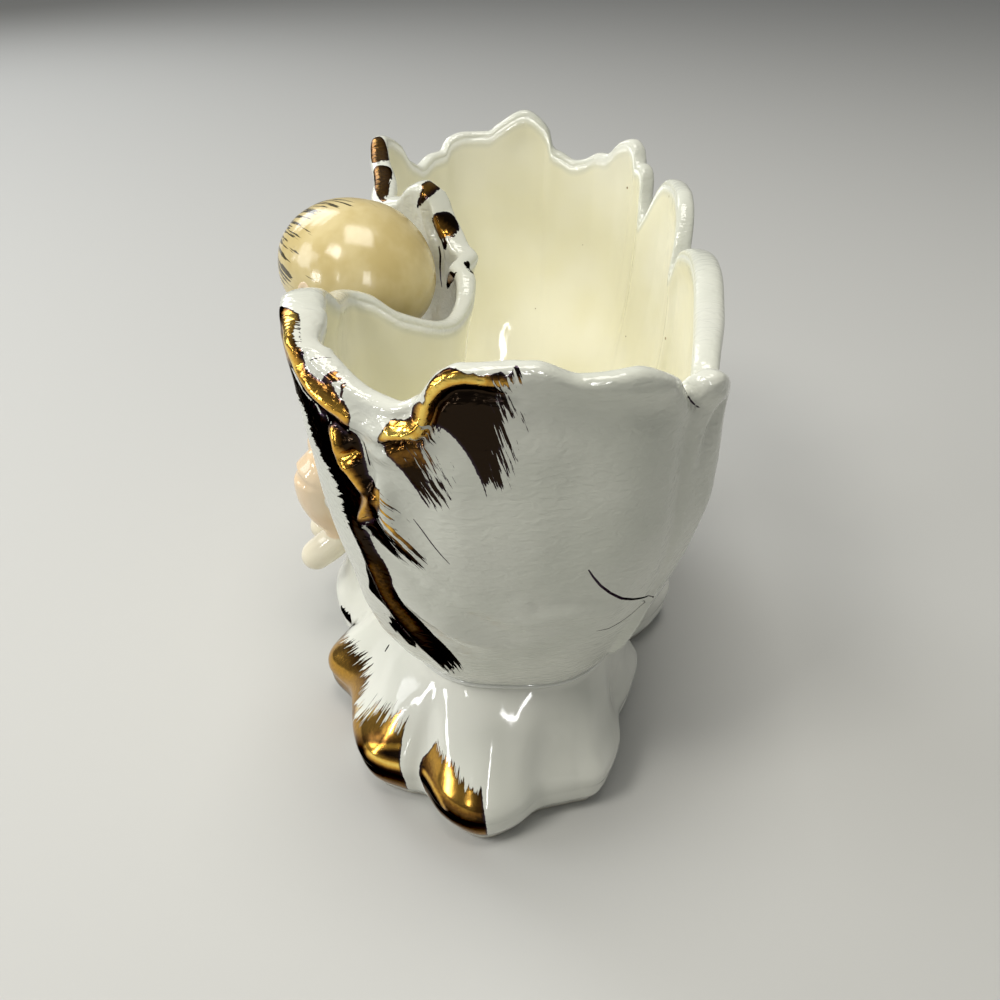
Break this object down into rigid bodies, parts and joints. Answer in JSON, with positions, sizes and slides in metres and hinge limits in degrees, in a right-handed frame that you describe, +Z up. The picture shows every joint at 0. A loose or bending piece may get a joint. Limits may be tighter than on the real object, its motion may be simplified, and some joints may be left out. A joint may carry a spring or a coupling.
{
  "type": "planter",
  "caption": "Oblong glazed porcelain planter: a scalloped shell shaped bowl on a ruffled pedestal foot, with a small seated figure in a niche of its front wall.",
  "frame": {"origin": "centre of the planter's plan bounds on the surface it stands on", "axes": "+X along the planter's long axis, -Y out of the front wall where the figure sits, +Z up"},
  "size_m": [0.2018, 0.121, 0.1412],
  "materials": {
    "white_glaze_and_gold_lustre": "clear glossy glaze on white porcelain, ivory inside, with brushed gold lustre on the front half of the outside",
    "skin_tinted_glaze": "peach tinted glaze",
    "hair_tinted_glaze": "golden beige tinted glaze with dark brushed strands"
  },
  "bodies": {
    "root": {"bowl": "white_glaze_and_gold_lustre", "pedestal": "white_glaze_and_gold_lustre", "torso": "skin_tinted_glaze", "head": "hair_tinted_glaze", "left_leg": "skin_tinted_glaze", "right_leg": "skin_tinted_glaze", "left_arm": "skin_tinted_glaze", "right_arm": "skin_tinted_glaze"}
  },
  "joints": []
}
